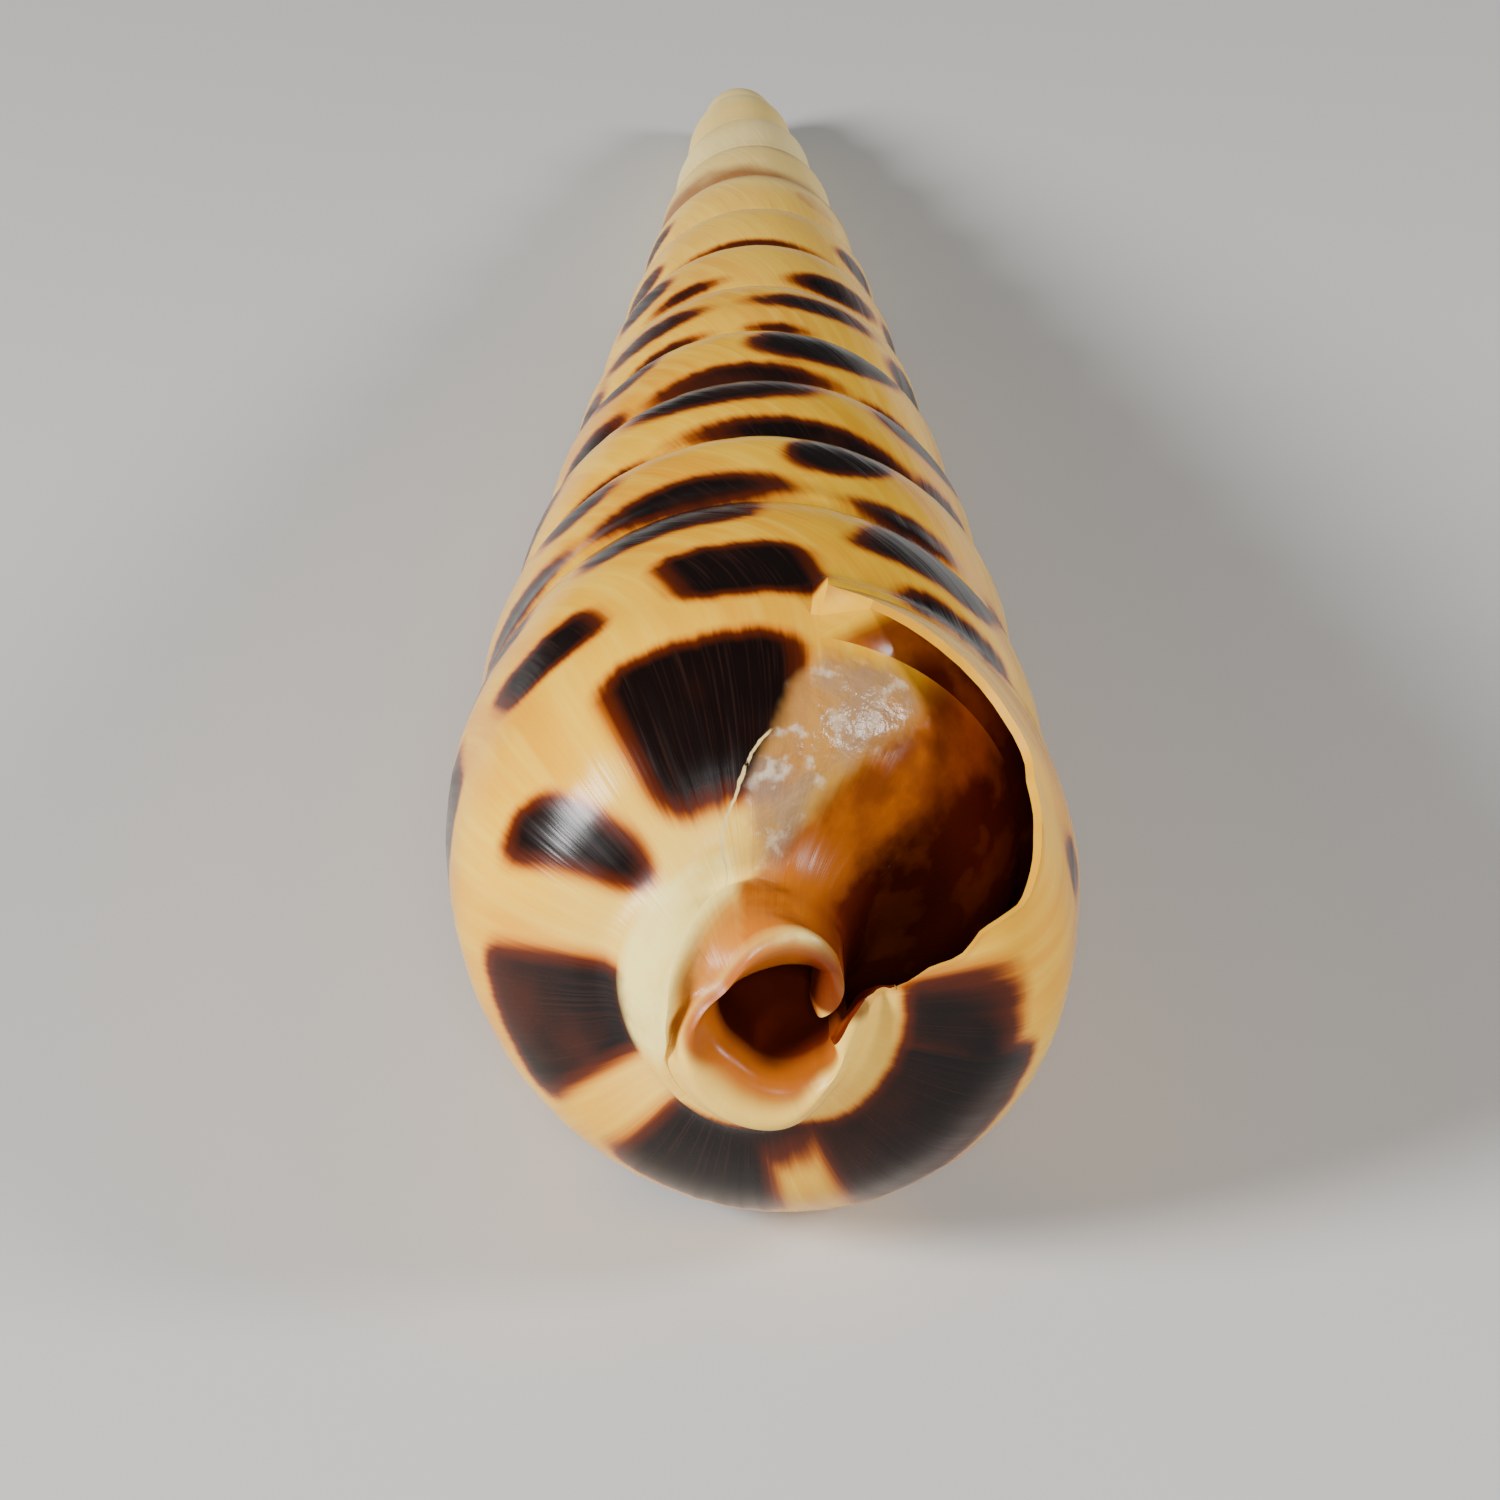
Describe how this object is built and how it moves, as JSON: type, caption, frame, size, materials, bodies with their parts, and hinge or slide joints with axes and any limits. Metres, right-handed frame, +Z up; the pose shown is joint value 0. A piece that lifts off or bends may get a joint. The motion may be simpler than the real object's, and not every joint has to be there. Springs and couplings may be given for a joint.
{
  "type": "auger shell",
  "caption": "Long slender spiral sea-snail shell lying on its side, with an open mouth, a short siphonal canal and a worn tip.",
  "frame": {"origin": "on the resting surface, under the middle of the bounding box", "axes": "+Y runs along the shell towards its tip, +Z is up, the mouth is at the -Y end and faces up and to +X"},
  "size_m": [0.0252, 0.1092, 0.0248],
  "materials": {
    "glossy shell": "gloss"
  },
  "bodies": {
    "root": {"shell": "glossy shell"}
  },
  "joints": []
}
